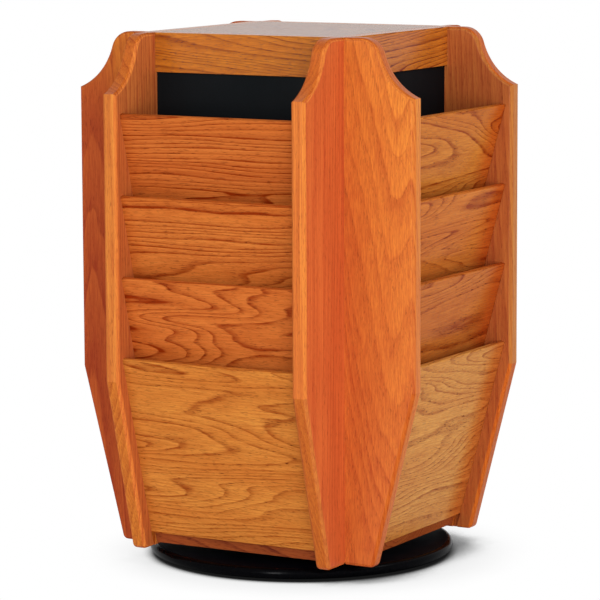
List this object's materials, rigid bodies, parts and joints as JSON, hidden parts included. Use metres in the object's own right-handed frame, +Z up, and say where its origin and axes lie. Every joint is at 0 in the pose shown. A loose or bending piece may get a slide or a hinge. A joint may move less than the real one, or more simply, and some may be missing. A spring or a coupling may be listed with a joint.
{
  "type": "periodical display rack",
  "caption": "Four-sided revolving oak rack with sloping pockets for periodicals, shaped side boards and a round black base on a ball bearing.",
  "frame": {"origin": "centre of the turning axis at the level that the feet stand on", "axes": "+Z up along the turning axis; -Y out of the front face, +X out of the right face"},
  "size_m": [0.457, 0.457, 0.641],
  "materials": {
    "side_oak": "honey-stained solid oak, satin lacquer",
    "panel_oak": "honey-stained oak-faced plywood, satin lacquer",
    "core_oak": "honey-stained solid oak, satin lacquer",
    "black_hardboard": "black painted hardboard, matt",
    "black_laminate": "black laminated board, satin",
    "zinc_steel": "zinc-plated pressed steel",
    "black_rubber": "moulded rubber"
  },
  "bodies": {
    "base": {"base_disc": "black_laminate", "rubber_foot_1": "black_rubber", "rubber_foot_2": "black_rubber", "rubber_foot_3": "black_rubber", "rubber_foot_4": "black_rubber", "bearing_lower_plate": "zinc_steel"},
    "ball_ring": {"bearing_ball_ring": "zinc_steel"},
    "rack": {"front_left_side_board": "side_oak", "front_right_side_board": "side_oak", "front_pocket_panel_1": "panel_oak", "front_pocket_panel_2": "panel_oak", "front_pocket_panel_3": "panel_oak", "front_pocket_panel_4": "panel_oak", "front_pocket_floor_1": "core_oak", "front_pocket_floor_2": "core_oak", "front_pocket_floor_3": "core_oak", "front_top_rail": "core_oak", "front_back_panel": "black_hardboard", "right_left_side_board": "side_oak", "right_right_side_board": "side_oak", "right_pocket_panel_1": "panel_oak", "right_pocket_panel_2": "panel_oak", "right_pocket_panel_3": "panel_oak", "right_pocket_panel_4": "panel_oak", "right_pocket_floor_1": "core_oak", "right_pocket_floor_2": "core_oak", "right_pocket_floor_3": "core_oak", "right_top_rail": "core_oak", "right_back_panel": "black_hardboard", "back_left_side_board": "side_oak", "back_right_side_board": "side_oak", "back_pocket_panel_1": "panel_oak", "back_pocket_panel_2": "panel_oak", "back_pocket_panel_3": "panel_oak", "back_pocket_panel_4": "panel_oak", "back_pocket_floor_1": "core_oak", "back_pocket_floor_2": "core_oak", "back_pocket_floor_3": "core_oak", "back_top_rail": "core_oak", "back_back_panel": "black_hardboard", "left_left_side_board": "side_oak", "left_right_side_board": "side_oak", "left_pocket_panel_1": "panel_oak", "left_pocket_panel_2": "panel_oak", "left_pocket_panel_3": "panel_oak", "left_pocket_panel_4": "panel_oak", "left_pocket_floor_1": "core_oak", "left_pocket_floor_2": "core_oak", "left_pocket_floor_3": "core_oak", "left_top_rail": "core_oak", "left_back_panel": "black_hardboard", "corner_post_front_right": "core_oak", "corner_post_right_back": "core_oak", "corner_post_back_left": "core_oak", "corner_post_left_front": "core_oak", "top_board": "core_oak", "bottom_board": "core_oak", "bearing_upper_plate": "zinc_steel"}
  },
  "joints": [
    {"name": "rack_spin", "type": "hinge", "parent": "base", "child": "rack", "pos_m": [0, 0, 0.0205], "axis": [0, 0, 1], "continuous": true},
    {"name": "ball_ring_spin", "type": "hinge", "parent": "base", "child": "ball_ring", "pos_m": [0, 0, 0.0205], "axis": [0, 0, 1], "continuous": true}
  ],
  "couplings": [
    {"joint": "ball_ring_spin", "follows": "rack_spin", "ratio": 0.5}
  ]
}
